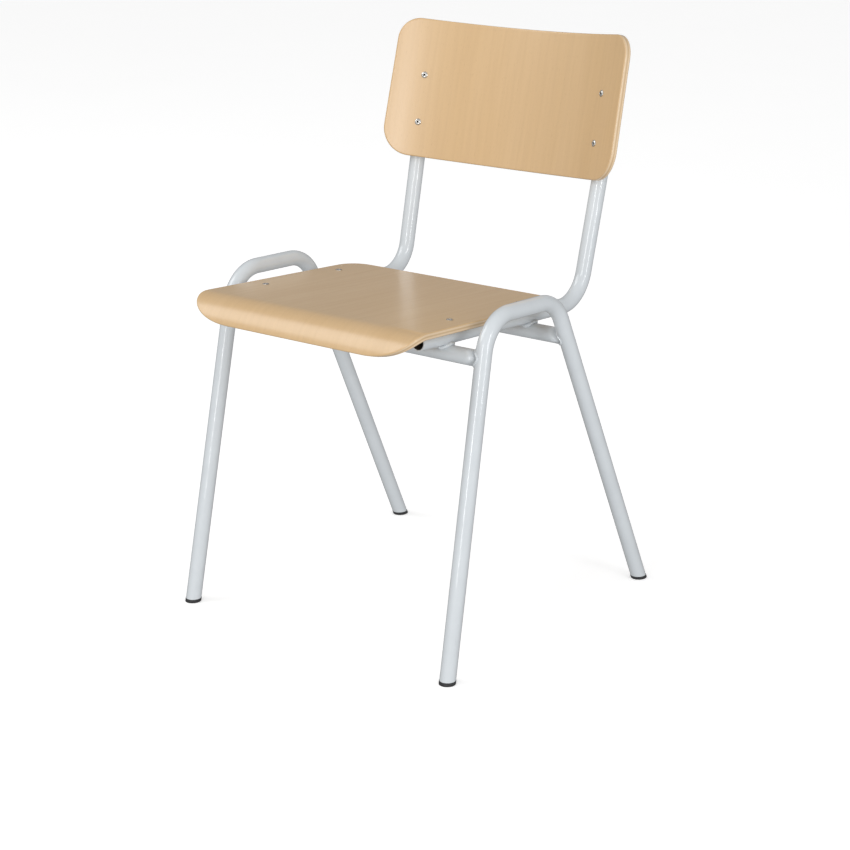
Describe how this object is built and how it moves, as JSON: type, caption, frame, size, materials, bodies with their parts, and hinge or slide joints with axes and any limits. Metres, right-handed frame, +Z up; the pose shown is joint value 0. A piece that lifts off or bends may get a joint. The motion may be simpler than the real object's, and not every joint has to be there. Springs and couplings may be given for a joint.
{
  "type": "stacking chair",
  "caption": "Stackable chair: bent plywood seat with waterfall front and curved plywood back, riveted to round steel tubes, with leg frames that rise beside the seat as hand loops.",
  "frame": {"origin": "on the floor, on the chair's mirror plane, at the centre of its overall footprint to within 4 mm", "axes": "+Z up, -Y the way the sitter faces, +X to the right as seen from the front"},
  "size_m": [0.4868, 0.5357, 0.7882],
  "materials": {
    "plywood": "moulded beech plywood, clear satin lacquer, light edge plies",
    "powder_coat": "light grey semi-gloss powder coat on steel tube",
    "foot_plastic": "black moulded plastic glide",
    "rivet_steel": "zinc-plated steel blind rivet"
  },
  "bodies": {
    "root": {"seat_shell": "plywood", "back_shell": "plywood", "leg_frame_left": "powder_coat", "leg_frame_right": "powder_coat", "seat_back_tube_left": "powder_coat", "seat_back_tube_right": "powder_coat", "front_cross_tube": "powder_coat", "rear_cross_tube": "powder_coat", "foot_front_left": "foot_plastic", "foot_front_right": "foot_plastic", "foot_rear_left": "foot_plastic", "foot_rear_right": "foot_plastic", "seat_rivet_front_left": "rivet_steel", "seat_rivet_front_right": "rivet_steel", "seat_rivet_rear_left": "rivet_steel", "seat_rivet_rear_right": "rivet_steel", "back_rivet_upper_left": "rivet_steel", "back_rivet_upper_right": "rivet_steel", "back_rivet_lower_left": "rivet_steel", "back_rivet_lower_right": "rivet_steel"}
  },
  "joints": []
}
